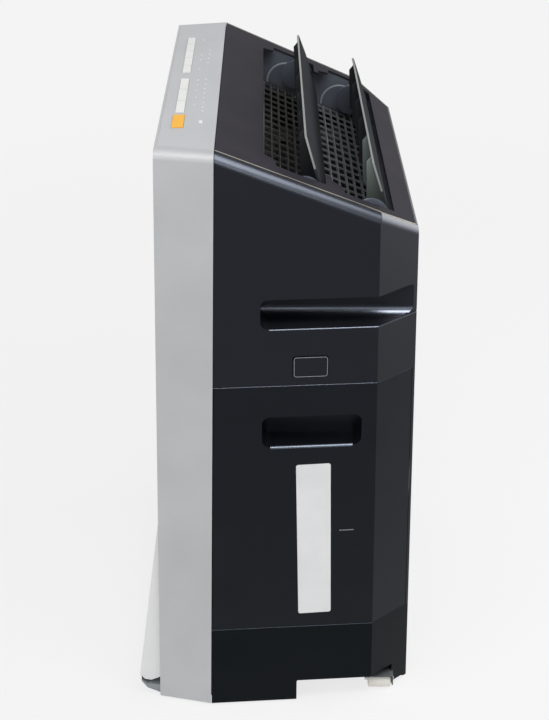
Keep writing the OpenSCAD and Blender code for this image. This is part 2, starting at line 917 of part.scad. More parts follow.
module grille_rests() {
  low = -grille_drop - grille_bar_height - 3;
  both_sides() box([duct_half - 6, -100, low], [duct_half, 300, -grille_drop - grille_bar_height]);
}

module end_bosses() {
  face = duct_half - duct_wall - boss_stand;
  for (k = [0, 1])
    both_sides() intersection() {
      rod_x(face, duct_half, pivot_run(k) - boss_ahead, -boss_drop, 2 * boss_radius);
      box([0, -100, -grille_drop + 0.4], [far, far, 0]);
    }
}

module grille_form(a, b, cols) {
  half = duct_half - duct_wall - 0.2;
  pitch = (b - a - grille_bar) / cols;
  rows = 20;
  row_pitch = (2 * half - grille_bar) / rows;
  slope_frame() translate([0, 0, -grille_drop - grille_bar_height]) {
    for (k = [0:cols])
      box([-half, a + k * pitch, 0], [half, a + k * pitch + grille_bar, grille_bar_height]);
    for (k = [0:rows])
      box([-half + k * row_pitch, a, 0.6], [-half + k * row_pitch + grille_bar, b, grille_bar_height - 0.6]);
  }
}

module front_grille() {
  color("#5a5552") placed() grille_form(duct_front + duct_wall + 0.2, mid_web - 1.4, 7);
}

module rear_grille() {
  color("#8a8d90") placed() grille_form(mid_web + 1.4, duct_rear - duct_wall - 0.2, 8);
}

// One louvre about its pivot, drawn closed: plate, two end cheeks, two stub shafts
module louvre_form(wide) {
  free = -louvre_pivot_back;
  back = louvre_chord - louvre_pivot_back;
  lift = louvre_pivot_drop - louvre_thick;
  bend = free + 27;
  translate([0, 0, lift]) linear_extrude(louvre_thick)
    polygon([[-louvre_free_half, free], [louvre_free_half, free], [wide, bend], [wide, back],
      [-wide, back], [-wide, bend]]);
  both_sides() {
    rod_x(wide - 2.4, wide, 0, 0, 2 * louvre_pivot_drop - 1.4);
    rod_x(wide - eps, duct_half - 0.2, 0, 0, stub_diameter);
  }
  for (k = [-5:2:5])
    translate([k * rib_step - rib_thick / 2, 0, 0]) rotate([90, 0, 90]) linear_extrude(rib_thick)
      polygon([[free + 0.6, lift + eps], [free + 4.5, lift - 5.6], [free + 42, -1], [0, -2.5], [back - 1, 3],
        [back - 1, lift + eps]]);
}

module louvre_at(k, wide) {
  color("#47474a") placed() slope_frame() translate([0, pivot_run(k), -louvre_pivot_drop])
    rotate([-louvre_open, 0, 0]) {
      louvre_form(wide);
      children();
    }
}

// Rear lip of the front louvre, which closes the gap to the rear louvre
module louvre_tongue() {
  low = louvre_chord - louvre_pivot_back - 1;
  translate([-tongue_half, low, louvre_pivot_drop - louvre_thick])
    cube([2 * tongue_half, tongue_length - louvre_pivot_back - low, louvre_thick]);
}

module front_louvre() {
  louvre_at(0, louvre_wide_half) louvre_tongue();
}

module rear_louvre() {
  louvre_at(1, louvre_wide_half - rear_louvre_short);
}

module louvre_motors() {
  color("#c9cbcd") placed() for (k = [0, 1])
    slope_frame() mirror([1, 0, 0]) difference() {
      rod_x(duct_half + 0.02, duct_half + 8, pivot_run(k), -louvre_pivot_drop, 22);
      rod_x(duct_half - 1, duct_half + 4, pivot_run(k), -louvre_pivot_drop, stub_diameter + 1);
    }
}

module filter_bulkhead() {
  color("#55595e") placed() {
    intersection() {
      column(wall + 0.2);
      split_frame() difference() {
        box([-half_width - 10, -3.5 - seam, -body_height + 24], [half_width + 10, -seam, -22]);
        box([-half_width + 50.5, -20, -body_height + 80], [half_width - 90.5, 20, -120]);
      }
    }
    split_frame() {
      box([-filter_half - 3, -46, filter_low - 3], [filter_half + 3, -3.5, filter_low - 0.1]);
      both_sides() box([filter_half + 0.4, -46, -body_height + 22], [filter_half + 3, -3.5, filter_high]);
    }
  }
}

module dust_filter() {
  depth = 26;
  pitch = (2 * filter_half - 12) / pleats;
  color("#eceae4") placed() split_frame() {
    difference() {
      box([-filter_half, -4.2 - depth, filter_low], [filter_half, -4.2, filter_high]);
      box([-filter_half + 6, -60, filter_low + 6], [filter_half - 6, 10, filter_high - 6]);
    }
    translate([-filter_half + 6, -4.2 - depth / 2, filter_low + 5])
      linear_extrude(filter_high - filter_low - 10)
      for (k = [0:pleats - 1])
        translate([k * pitch, 0]) polygon([[-0.1, -9], [0.5, -9], [pitch / 2, 8], [pitch - 0.5, -9],
          [pitch + 0.1, -9], [pitch + 0.1, -8], [pitch / 2 + 0.3, 9], [pitch / 2 - 0.3, 9], [-0.1, -8]]);
  }
}

module scent_filter() {
  cell_grid("#3b3b3c", -40.6, -30.4, 6, 10, -40.2, 2.4);
}

module pre_filter() {
  cell_grid("#6d7074", -44.6, -40.8, 8, 12, 0, 3);
}

// Filter frame between depths a and b, with cols by rows cells cut from the front down to floor_depth
module cell_grid(tint, a, b, cols, rows, floor_depth, rib) {
  edge = 7;
  wide = (2 * filter_half - 2 * edge + rib) / cols;
  high = (filter_high - filter_low - 2 * edge + rib) / rows;
  color(tint) placed() split_frame() difference() {
    box([-filter_half, a, filter_low], [filter_half, b, filter_high]);
    for (k = [0:cols - 1])
      for (j = [0:rows - 1])
        translate([-filter_half + edge + k * wide, a - 10, filter_low + edge + j * high])
          cube([wide - rib, floor_depth - a + 10, high - rib]);
  }
}

module scroll_casing() {
  color("#4a4d52") placed() difference() {
    scroll_space(0);
    scroll_space(wall);
    rod_y(fan_x, scroll_front - 5, scroll_front + 5, fan_z, 150);
    rod_y(fan_x, scroll_rear - 6, scroll_rear + 5, fan_z, 84);
    box([throat_left, scroll_front + wall, deck_z - 20], [throat_right, scroll_rear - wall, deck_z + 20]);
  }
}

module scroll_space(ins) {
  rod_y(fan_x, scroll_front + ins, scroll_rear - ins, fan_z, 2 * (scroll_radius - ins));
  box([throat_left - 2 + ins, scroll_front + ins, fan_z],
    [throat_right + 2 - ins, scroll_rear - ins, deck_z - 0.05]);
}

module fan_wheel() {
  y0 = 4;
  y1 = y0 + fan_width;
  color("#e4e5e6") placed() difference() {
    union() {
      rod_y(fan_x, y1 - 2.4, y1, fan_z, 2 * fan_radius);
      difference() {
        rod_y(fan_x, y0, y0 + 3, fan_z, 2 * fan_radius);
        rod_y(fan_x, y0 - 1, y0 + 4, fan_z, 2 * fan_radius - 36);
      }
      rod_y(fan_x, y1 - 22, y1, fan_z, 30);
      translate([fan_x, y0 + 1, fan_z]) rotate([-90, 0, 0]) for (k = [0:fan_blades - 1])
        rotate([0, 0, k * 360 / fan_blades]) translate([fan_radius - 9.4, 0, 0]) rotate([0, 0, 32])
          translate([-8, -0.7, 0]) cube([16, 1.4, fan_width - 2]);
    }
    rod_y(fan_x, y0, y1 + 5, fan_z, motor_shaft + 2 * running_gap);
  }
}

module fan_motor() {
  y1 = 4 + fan_width;
  color("#8f9297") placed() {
    rod_y(fan_x, y1 - 20, y1 + 6, fan_z, motor_shaft);
    rod_y(fan_x, y1 + 4, scroll_rear + 16, fan_z, motor_diameter);
  }
}

module motor_bracket() {
  color("#a9acb0") placed() difference() {
    union() {
      rod_y(fan_x, scroll_rear + 0.02, scroll_rear + 3, fan_z, motor_flange);
      for (a = [45, 135, 225, 315])
        translate([fan_x, 0, fan_z]) rotate([0, a, 0])
          box([motor_diameter / 2 + 2, scroll_rear + 0.02, -8], [motor_flange / 2 + 14, scroll_rear + 3, 8]);
    }
    rod_y(fan_x, scroll_rear - 5, scroll_rear + 6, fan_z, motor_diameter + 0.1);
  }
}

module humidifier_tray() {
  color("#9fb2bd") placed() {
    difference() {
      box([tray_left, tray_front, tray_low], [tray_right, tray_rear, tray_high]);
      box([tray_left + 2, tray_front + 2, tray_low + 2], [tray_right - 2, tray_rear - 2, tray_high + 5]);
    }
    for (x = [tray_left + 10, tray_right - 16])
      box([x, tray_front + 8, floor_low + floor_thick], [x + 6, tray_rear - 8, tray_low + eps]);
    translate([78, wheel_y, tray_low]) cylinder(d = 4, h = 66, $fn = 32);
  }
}

module wheel_stand() {
  color("#7f878c") placed() difference() {
    union() {
      box([wheel_x - 22, tray_rear + 0.02, tray_low + 10], [wheel_x + 22, tray_rear + 3, wheel_z + 24]);
      rod_y(wheel_x, tray_rear + 3 - eps, -12.1, wheel_z, 44);
    }
    rod_y(wheel_x, tray_rear - 1, tray_rear + 5, wheel_z, 6);
  }
}

module wheel_shaft() {
  color("#c4c7ca") placed() rod_y(wheel_x, wheel_y - wheel_width / 2, tray_rear + 5, wheel_z, 6);
}

module humidifier_wheel() {
  y0 = wheel_y - wheel_width / 2;
  y1 = wheel_y + wheel_width / 2;
  color("#e8e6dc") placed() difference() {
    union() {
      difference() {
        rod_y(wheel_x, y0, y1, wheel_z, 2 * wheel_radius);
        rod_y(wheel_x, y0 - 1, y1 + 1, wheel_z, 2 * wheel_radius - 10);
      }
      rod_y(wheel_x, y0 + 4, y1 - 4, wheel_z, 2 * wheel_radius - 9);
      rod_y(wheel_x, y0, y1, wheel_z, 34);
      translate([wheel_x, 0, wheel_z]) for (a = [0:45:315])
        rotate([0, a, 0]) box([10, y0, -3], [wheel_radius - 3, y1, 3]);
    }
    rod_y(wheel_x, y0 - 1, y1 + 1, wheel_z, 6 + 2 * running_gap);
  }
}

module tray_float() {
  color("#f2f2ee") placed() difference() {
    translate([78, wheel_y, tray_low + 2.4]) translate([-9, -11, 0]) cube([18, 22, 14]);
    translate([78, wheel_y, 0]) cylinder(d = 4 + 2 * running_gap, h = 200, $fn = 32);
  }
}

// Room on the tank side between the two seams
module tank_room(low, high) {
  intersection() {
    behind_split(seam / 2 + 0.3);
    behind(rear_n, rear_p - (wall + seam) * rear_n);
    box([bay_inner, -300, seam_low + low], [400, 300, seam_high - high]);
  }
}

module tank_cover() {
  color("#1b1e22") placed() difference() {
    intersection() {
      union() {
        difference() {
          column(0);
          column(wall);
        }
        intersection() {
          column(0.4);
          tank_grip_block(wall, wall);
        }
      }
      tank_room(seam / 2, seam / 2);
      box([bay_inner + 28, -300, 0], [far, 300, far]);
    }
    level_edges(seam_high - seam / 2, seam_round);
    tank_grip_block(0, 0);
    intersection() {
      level_edges(tank_grip_z - tank_grip_height / 2, tank_lip);
      box([0, tank_grip_y - tank_grip_width / 2 + recess_round, 0],
        [far, tank_grip_y + tank_grip_width / 2 - recess_round, far]);
    }
    window_block(0.1);
  }
}

// Tank grip hollow, grown by g, with its back moved in by d
module tank_grip_block(g, d) {
  x = side_x(tank_grip_y, tank_grip_z) - tank_grip_depth;
  side_block(x - d, x + 80, tank_grip_y, tank_grip_z, tank_grip_width + 2 * g, tank_grip_height + 2 * g,
    recess_round + g);
}

module window_block(g) {
  translate([half_width - 80, window_y, window_z]) rotate([window_turn, 0, 0])
    side_block(0, 120, 0, 0, window_width + 2 * g, window_height + 2 * g, 2.5);
}

module level_window() {
  color("#d8d9da") placed() intersection() {
    difference() {
      column(0);
      column(window_thick);
    }
    window_block(0);
  }
}

module tank_body() {
  low = 8;
  tank_inner = side_x(0, 200) - tank_depth;
  color("#3c4146") placed() difference() {
    intersection() {
      column(wall + 0.05);
      tank_room(low, 8);
      box([tank_inner, split_y(seam_low) + 8, 0], [far, rear_y(seam_high) - 9, far]);
    }
    intersection() {
      column(wall + 2.4);
      tank_room(low + 2.4, 10.4);
      box([tank_inner + 2.2, split_y(seam_low) + 10.2, 0], [far, rear_y(seam_high) - 11.2, far]);
    }
    tank_grip_block(wall + 0.05, wall + 0.05);
    translate([cap_x, cap_y, seam_low]) cylinder(d = 30, h = 30, $fn = 48);
  }
}

module tank_cap() {
  color("#5d6f7a") placed() {
    translate([cap_x, cap_y, seam_low + 1.6]) cylinder(d = 40, h = 6.35, $fn = 64);
    translate([cap_x, cap_y, seam_low + 7.9]) cylinder(d = 29.9, h = 4, $fn = 64);
  }
}

module cord_gland() {
  y = rear_y(gland_z);
  color("#26292c") placed() difference() {
    union() {
      rod_y(gland_x, y - 8, y + 1, gland_z, 14);
      rod_y(gland_x, y + 0.5, y + gland_stand, gland_z, 20);
    }
    rod_y(gland_x, y - 20, y + 20, gland_z, 8);
  }
}

module screws() {
  color("#8d9094") placed() for (z = [screw_low:screw_pitch:body_height - screw_low])
    for (x = [-screw_x, screw_x])
      translate([x, rear_y(z), z]) rotate([-90 + atan(rear_lean / body_height), 0, 0]) difference() {
        translate([0, 0, 0.02]) cylinder(d = 7, h = 1.4, $fn = 32);
        translate([-2.4, -0.4, 0.8]) cube([4.8, 0.8, 2]);
        translate([-0.4, -2.4, 0.8]) cube([0.8, 4.8, 2]);
      }
}

base();
front_toe();
roller_rear_right();
roller_rear_left();
roller_front_right();
roller_front_left();
roller_axles();
front_frame();
upper_front_panel();
intake_panel();
intake_pins();
control_panel();
key_one();
key_two();
key_three();
key_four();
key_five();
key_six();
key_seven();
key_eight();
power_key();
control_board();
housing();
release_button();
button_guide();
top_plate();
top_trim();
outlet_duct();
front_grille();
rear_grille();
front_louvre();
rear_louvre();
louvre_motors();
filter_bulkhead();
dust_filter();
scent_filter();
pre_filter();
scroll_casing();
fan_wheel();
fan_motor();
motor_bracket();
humidifier_tray();
wheel_stand();
wheel_shaft();
humidifier_wheel();
tray_float();
tank_cover();
level_window();
tank_body();
tank_cap();
cord_gland();
screws();
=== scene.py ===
"""Humidifying air purifier, dressed for the camera. Metres, +Z up, front towards -Y."""
import json
import math

import bpy
from mathutils import Matrix, Vector


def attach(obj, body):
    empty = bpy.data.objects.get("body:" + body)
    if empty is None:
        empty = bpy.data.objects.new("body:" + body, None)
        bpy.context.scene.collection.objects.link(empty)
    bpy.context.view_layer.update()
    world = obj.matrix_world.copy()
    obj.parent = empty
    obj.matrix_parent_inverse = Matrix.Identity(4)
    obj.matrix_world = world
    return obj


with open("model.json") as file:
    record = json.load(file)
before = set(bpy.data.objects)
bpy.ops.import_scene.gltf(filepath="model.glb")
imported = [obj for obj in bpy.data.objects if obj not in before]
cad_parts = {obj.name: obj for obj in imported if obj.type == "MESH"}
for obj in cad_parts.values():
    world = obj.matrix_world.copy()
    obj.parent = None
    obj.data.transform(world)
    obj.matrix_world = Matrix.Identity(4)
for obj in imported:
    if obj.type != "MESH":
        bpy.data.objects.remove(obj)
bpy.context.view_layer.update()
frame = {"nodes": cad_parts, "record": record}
nodes = frame["nodes"]
scene = bpy.context.scene
scene.view_settings.view_transform = "Standard"
bpy.ops.object.select_all(action="DESELECT")

MM = 0.001
# The source's y = 0 lies this far behind the frame's y = 0 (mm)
SHIFT = 9.24
# Shoulder: the line where the level panel meets the sloping top (mm, in the source's frame)
SHOULDER_X, SHOULDER_Y, SHOULDER_Z = 200.5, -62.2, 640
SHOULDER = Vector((0, SHOULDER_Y + SHIFT, SHOULDER_Z)) * MM
PANEL_TOP = SHOULDER_Z * MM
SLOPE = math.radians(23.1)
SLOPE_RUN = Vector((0, math.cos(SLOPE), -math.sin(SLOPE)))
SLOPE_OUT = Vector((0, math.sin(SLOPE), math.cos(SLOPE)))
# The black side turns inwards towards the rear, and leans in towards the foot (mm for each mm down)
SIDE_TURN = math.radians(3.47)
SIDE_LEAN = 0.00266
PHOTO_HIGH = 720


def photo_camera():
    """Camera of the photo: above the tank side, looking down along -X."""
    yaw, pitch = math.radians(0.38), math.radians(28.5)
    ahead = Vector((-math.cos(yaw) * math.cos(pitch), math.sin(yaw) * math.cos(pitch), -math.sin(pitch)))
    data = bpy.data.cameras.new("photo_camera")
    camera = bpy.data.objects.new("photo_camera", data)
    scene.collection.objects.link(camera)
    data.sensor_width = 36
    data.lens = 63.18
    data.shift_y = -60 / PHOTO_HIGH
    data.clip_end = 50
    camera.location = Vector((1196.7, -8.36, 1040.9)) * MM
    camera.rotation_mode = "QUATERNION"
    camera.rotation_quaternion = ahead.to_track_quat("-Z", "Y")
    scene.camera = camera


photo_camera()


# Finishes
def colour(code):
    """sRGB hex to linear RGBA."""
    parts = [int(code[k:k + 2], 16) / 255 for k in (1, 3, 5)]
    return [p / 12.92 if p <= 0.04045 else ((p + 0.055) / 1.055) ** 2.4 for p in parts] + [1]


def add(tree, kind, settings=None, **inputs):
    """One node with its settings and its inputs, by name or by number (_0).
    An input is a value or a (node, output) link."""
    made = tree.nodes.new(kind)
    for key, value in (settings or {}).items():
        setattr(made, key, value)
    for key, value in inputs.items():
        socket = made.inputs[int(key[1:])] if key[0] == "_" else made.inputs[key.replace("_", " ")]
        if isinstance(value, tuple) and isinstance(value[1], str):
            tree.links.new(value[0].outputs[value[1]], socket)
        else:
            socket.default_value = value
    return made


def start(name):
    """A new material: its tree, its surface shader and its object coordinates."""
    made = bpy.data.materials.new(name)
    made.use_nodes = True
    tree = made.node_tree
    tree.nodes.clear()
    place = add(tree, "ShaderNodeTexCoord")
    shader = add(tree, "ShaderNodeBsdfPrincipled")
    add(tree, "ShaderNodeOutputMaterial", Surface=(shader, "BSDF"))
    return made, tree, shader, place


def noise(tree, place, size_mm, detail):
    """Cloud noise with spots of that size."""
    return add(tree, "ShaderNodeTexNoise", Vector=(place, "Object"), Scale=1 / (size_mm * MM), Detail=detail)


def two_tones(tree, shader, factor, low, high, span=(0, 1)):
    """Base colour that goes from one tone to the other as the factor crosses the span."""
    tones = add(tree, "ShaderNodeValToRGB", Fac=factor)
    for stop, position, code in zip(tones.color_ramp.elements, span, (low, high)):
        stop.position = position
        stop.color = colour(code)
    tree.links.new(tones.outputs["Color"], shader.inputs["Base Color"])


def vary(tree, place, shader, low, high, size_mm, detail=3):
    """Slow change of colour between two tones, over spots of that size."""
    cloud = noise(tree, place, size_mm, detail)
    two_tones(tree, shader, (cloud, "Fac"), low, high, (0.3, 0.7))


def gloss(tree, place, shader, rough, swing, size_mm):
    """Slow change of roughness by that share to each side, as handling and moulding leave it."""
    cloud = noise(tree, place, size_mm, 2)
    span = add(tree, "ShaderNodeMapRange", Value=(cloud, "Fac"),
               To_Min=rough * (1 - swing), To_Max=rough * (1 + swing))
    tree.links.new(span.outputs["Result"], shader.inputs["Roughness"])


def bumps(tree, shader, cloud, height_mm):
    """Bump of that height from a noise."""
    bump = add(tree, "ShaderNodeBump", Height=(cloud, "Fac"), Distance=height_mm * MM, Strength=1.0)
    tree.links.new(bump.outputs["Normal"], shader.inputs["Normal"])


def grain(tree, place, shader, size_mm, height_mm):
    """Fine bump of that size and height."""
    bumps(tree, shader, noise(tree, place, size_mm, 2), height_mm)


def moulded(name, low, high, rough, grain_mm, height_mm, level, tint="#ffffff"):
    """Moulded plastic: two close tones, uneven gloss and a fine tool grain."""
    made, tree, shader, place = start(name)
    vary(tree, place, shader, low, high, 60)
    gloss(tree, place, shader, rough, 0.12, 35)
    grain(tree, place, shader, grain_mm, height_mm)
    shader.inputs["Specular IOR Level"].default_value = level
    shader.inputs["IOR"].default_value = 1.5
    shader.inputs["Specular Tint"].default_value = colour(tint)
    return made


def painted_silver(name, low, high, rough, metal):
    """Metallic silver lacquer over ABS: aluminium flakes make a fine sparkle and a broad, soft sheen.
    The flakes are drawn at 0.5 mm, far coarser than real ones, so that they show."""
    made, tree, shader, place = start(name)
    flakes = add(tree, "ShaderNodeTexVoronoi", Vector=(place, "Object"), Scale=1 / (0.5 * MM))
    cloud = noise(tree, place, 80, 2)
    sparkle = add(tree, "ShaderNodeMapRange", Value=(flakes, "Color"), To_Min=-0.12, To_Max=0.12)
    total = add(tree, "ShaderNodeMath", {"operation": "ADD"}, _0=(sparkle, "Result"), _1=(cloud, "Fac"))
    two_tones(tree, shader, (total, "Value"), low, high, (0.25, 0.75))
    gloss(tree, place, shader, rough, 0.08, 30)
    shader.inputs["Metallic"].default_value = metal
    return made


def brushed_metal(name, low, high, rough):
    """Drawn or turned steel: close lines along X, a soft stretched highlight."""
    made, tree, shader, place = start(name)
    turn = add(tree, "ShaderNodeMapping", Vector=(place, "Object"), Scale=(0.05, 1, 1))
    lines = add(tree, "ShaderNodeTexNoise", Vector=(turn, "Vector"), Scale=1 / (0.8 * MM), Detail=3)
    two_tones(tree, shader, (lines, "Fac"), low, high)
    bumps(tree, shader, lines, 0.02)
    shader.inputs["Metallic"].default_value = 1
    shader.inputs["Roughness"].default_value = rough
    return made


def fibre(name, low, high, size_mm):
    """Matted filter fibre: rough, with a felt of small tones."""
    made, tree, shader, place = start(name)
    vary(tree, place, shader, low, high, size_mm, detail=6)
    grain(tree, place, shader, size_mm, 0.3)
    shader.inputs["Roughness"].default_value = 0.95
    shader.inputs["Specular IOR Level"].default_value = 0.2
    return made


# Depth under the sloping top at which the duct's wall is painted fully black as shade, and at which that
# painted shade ends and the wall is grey (mm)
PAINTED_SHADE_FULL_BELOW, PAINTED_SHADE_NONE_ABOVE = 50, 37


def duct_with_painted_shade(name, low, high, shade_tone, rough):
    """Smoke-grey gloss ABS of the air duct: grey near the outlet, with painted shade that turns it black
    below the grilles.
    """
    made, tree, shader, place = start(name)
    level = SHOULDER.dot(SLOPE_OUT)
    cloud = noise(tree, place, 60, 3)
    wall = add(tree, "ShaderNodeMixRGB", Fac=(cloud, "Fac"), Color1=colour(low), Color2=colour(high))
    height = add(tree, "ShaderNodeVectorMath", {"operation": "DOT_PRODUCT"},
                 _0=(place, "Object"), _1=SLOPE_OUT)
    depth = add(tree, "ShaderNodeMapRange", Value=(height, "Value"),
                From_Min=level - PAINTED_SHADE_FULL_BELOW * MM, From_Max=level - PAINTED_SHADE_NONE_ABOVE * MM)
    tone = add(tree, "ShaderNodeMixRGB", Fac=(depth, "Result"), Color1=colour(shade_tone), Color2=(wall, "Color"))
    tree.links.new(tone.outputs["Color"], shader.inputs["Base Color"])
    gloss(tree, place, shader, rough, 0.12, 35)
    grain(tree, place, shader, 6, 0.006)
    return made


def frosted_window(name):
    """Frosted clear polypropylene: pale, lit through, with a faint cloud of wall thickness."""
    made, tree, shader, place = start(name)
    vary(tree, place, shader, "#dadbdc", "#e3e3e4", 45)
    grain(tree, place, shader, 0.5, 0.01)
    shader.inputs["Roughness"].default_value = 0.45
    shader.inputs["Subsurface Weight"].default_value = 0.25
    shader.inputs["Subsurface Radius"].default_value = (0.004, 0.004, 0.004)
    shader.inputs["Subsurface Scale"].default_value = 0.5
    return made


# moulded: material, darker tone, lighter tone, roughness, grain size and height (mm), specular level, tint
FINISHES = {
    # Gloss black ABS: nearly no colour of its own, slight orange peel, soft blue-black highlights
    "housing_black": moulded("gloss_black_abs_housing", "#101115", "#131418", 0.3, 6, 0.006, 0.2, "#dfeaff"),
    # The tank cover and the base are darker and reflect less than the housing, step by step towards the
    # floor: painted shade, for the darker reflection of the floor near the object
    "cover_black": moulded("gloss_black_abs_tank_cover_painted_shade", "#0a0c0f", "#0e1013", 0.3, 6, 0.006, 0.15,
                           "#dbe8ff"),
    "base_black": moulded("gloss_black_abs_base_painted_shade", "#030609", "#06090c", 0.3, 6, 0.006, 0.09, "#d5e9ff"),
    "button_black": moulded("gloss_black_abs_button", "#0c0d10", "#0f1014", 0.3, 4, 0.006, 0.24, "#dbe4ff"),
    # Satin charcoal ABS, spark-eroded tool: soft sheen, fine grain
    "plate_satin": moulded("satin_charcoal_abs_plate", "#2e2d32", "#343238", 0.5, 0.7, 0.02, 0.02,
                           "#eef1ff"),
    # Dark ABS blades: flat on their broad faces
    "louvre_dark": moulded("dark_abs_louvre", "#37383b", "#3e3f42", 0.45, 2, 0.006, 0.0),
    # Air duct: smoke grey, with painted shade that darkens it to black below the grilles
    "duct_dark": duct_with_painted_shade("smoke_grey_abs_duct_painted_shade", "#5f6570", "#6a707b", "#08090b", 0.2),
    # Grilles: dark cells, tops of the bars catch the light
    "grille_dark": moulded("grey_abs_front_grille", "#585754", "#62615e", 0.35, 0.8, 0.01, 0.4),
    "grille_pale": moulded("grey_abs_rear_grille", "#7a7c7e", "#868889", 0.3, 0.8, 0.01, 0.5),
    "inner_grey": moulded("plain_grey_abs", "#3a3c40", "#404348", 0.55, 1, 0.02, 0.4),
    # Silver lacquer and silver film
    "silver_paint": painted_silver("silver_lacquer_on_abs", "#b0b1b3", "#babbbd", 0.38, 0.4),
    "panel_silver": painted_silver("silver_film_panel", "#b6b7ba", "#bdbec1", 0.5, 0.25),
    "trim_pale": painted_silver("champagne_foil_trim", "#a39d8f", "#aea899", 0.4, 0.4),
    # Pale gloss front skins and dark grey toe
    "front_light": moulded("pale_gloss_abs_front", "#e7e8e8", "#e9eaea", 0.25, 5, 0.006, 0.5),
    "intake_light": moulded("pale_gloss_abs_intake", "#dcdddd", "#dededf", 0.3, 5, 0.006, 0.5),
    "toe_grey": moulded("grey_abs_toe", "#83888d", "#8d9297", 0.45, 0.8, 0.02, 0.4),
    # Soft-touch keys, printed white and orange
    "key_white": moulded("white_film_key", "#dedfdc", "#e5e5e3", 0.5, 0.7, 0.01, 0.4),
    "key_orange": moulded("orange_film_key", "#ecae34", "#f3bb42", 0.5, 0.7, 0.01, 0.4),
    # Working parts
    "roller_white": moulded("natural_nylon_roller", "#d8d5ce", "#e1dfd9", 0.5, 0.9, 0.03, 0.4),
    "steel_pin": brushed_metal("drawn_steel_pin", "#a4a7aa", "#c6c9cc", 0.28),
    "motor_metal": brushed_metal("zinc_plated_steel", "#9a9da1", "#b9bcc0", 0.38),
    "board_green": moulded("green_solder_mask", "#24553a", "#2c6244", 0.35, 0.8, 0.02, 0.5),
    "filter_white": fibre("pleated_paper_fibre", "#e2dfd6", "#f0eee8", 1.2),
    "filter_dark": fibre("carbon_loaded_fibre", "#232324", "#343435", 1.0),
    "filter_mesh": moulded("mesh_frame_pp", "#5e6165", "#6a6d71", 0.55, 0.9, 0.02, 0.4),
    "fan_white": moulded("white_pp_fan", "#dcdddf", "#e6e7e8", 0.4, 0.9, 0.02, 0.4),
    "tray_blue": moulded("blue_grey_pp_tray", "#93a8b4", "#9fb2bd", 0.4, 0.9, 0.02, 0.4),
    "wheel_media": fibre("wick_fibre", "#dcd8c8", "#ebe8da", 1.5),
    "float_white": moulded("white_foam_pp", "#ecece7", "#f3f3ef", 0.6, 1.2, 0.05, 0.3),
    "window_clear": frosted_window("frosted_pp_window"),
    "tank_smoke": moulded("smoke_pp_tank", "#363c42", "#3f464c", 0.35, 0.9, 0.02, 0.45),
    "cap_blue": moulded("blue_grey_pp_cap", "#566873", "#607380", 0.4, 0.9, 0.02, 0.4),
    "gland_black": moulded("black_rubber_gland", "#1c1e20", "#242628", 0.7, 0.8, 0.03, 0.3),
}

for part in frame["record"]["subparts"]:
    mesh = nodes[part["node"]].data
    mesh.materials.clear()
    mesh.materials.append(FINISHES[part["material_slot"]])


# Small pieces that the scene adds; their sizes and places are in millimetres
LENS = moulded("milky_acrylic_lens", "#d8d9d8", "#e0e1e0", 0.3, 0.8, 0.01, 0.5)
# Pale grey print for the tank's level mark; on the button the same pale line is a painted highlight for its
# bevelled edge
PRINT_AND_HIGHLIGHT = moulded("pale_grey_print_and_painted_highlight", "#8e9096", "#9a9ca2", 0.45, 0.7, 0.01, 0.4)
# Painted highlight: pale strips for the light on the louvres' eased edges
PAINTED_LOUVRE_HIGHLIGHT = moulded("painted_highlight_louvre_edge", "#7e8280", "#888c8a", 0.3, 1.5, 0.006, 0.5)
# Painted highlight: pale arcs for the light on the upper rims of the duct's bosses
PAINTED_BOSS_HIGHLIGHT = moulded("painted_highlight_boss_rim", "#a0a8b0", "#acb4bc", 0.2, 3, 0.006, 0.5)
DISC_GREY = moulded("smoke_grey_abs_disc", "#5a606b", "#656b76", 0.22, 4, 0.006, 0.4)
BRACKET_GREY = moulded("grey_abs_bracket", "#4a4e50", "#525658", 0.45, 0.8, 0.02, 0.4)
# Painted light: a pale skin for the lit near side of the rear louvre's ribs
RIB_PAINTED_LIGHT = moulded("painted_light_rib_cheek", "#7e8a86", "#89958f", 0.35, 2, 0.006, 0.4)

# Lens: height over the panel, depth in it, and the side of a square one
LENS_STAND, LENS_ROOT, LENS_SIDE = 0.35, 0.2, 1.8
INDICATOR_ROWS = {
    "indicator_front": (-84.6, (-125, -73, -57, -27, 7, 22, 39, 57.5, 77)),
    "indicator_rear": (-76.8, (-107.5, -90.5, -75, -61, -46.5, 5, 19, 32.5, 45.5, 59, 72, 85, 95)),
}
# Louvre, from its pivot with the blade lying level: free edge, start of the slanted ends, middle of the skin
BLADE_TIP, BLADE_SLANT, BLADE_SKIN = -46.2, -19.2, 15.9
BLADE_RIM_END = -20
RIB_OUTLINE = [(-45.2, 14.7), (-41.5, 9.5), (-0.5, -2), (6.9, 3.2), (6.9, 14.7)]
RIB_PLACES = (79, 131)
DISC_RADIUS, DISC_THICK = 16.7, 2.9
# Bosses on the duct's end walls: the wall, how far down the slope and how far under it their middles lie
BOSS_WALL, BOSS_RUNS, BOSS_DROP = 169, (83.6, 149.5), 29.5
BOSS_RADIUS, BOSS_RIM_DEEP = 19.8, 1.2
# Bracket of a rear roller, in the frame's own places: its strip, its cheek's height and how far the cheek
# goes on into the base's wall
STRIP_X, STRIP_Y, STRIP_Z = (168.5, 180.3), (100.5, 127.7), 20.1
CHEEK_HIGH, CHEEK_ROOT = 12.6, 6

PIVOTS = {j["child"]: Vector(j["pos_m"]) for j in frame["record"]["behaviour"]["joints"] if "pos_m" in j}
LOUVRE_LEAN = Matrix.Rotation(math.radians(-72.1), 4, "X")
# Stands a sheet up across the machine: its x runs along Y and its y along Z
SECTION = Matrix(((0, 0, 1), (1, 0, 0), (0, 1, 0))).to_4x4()


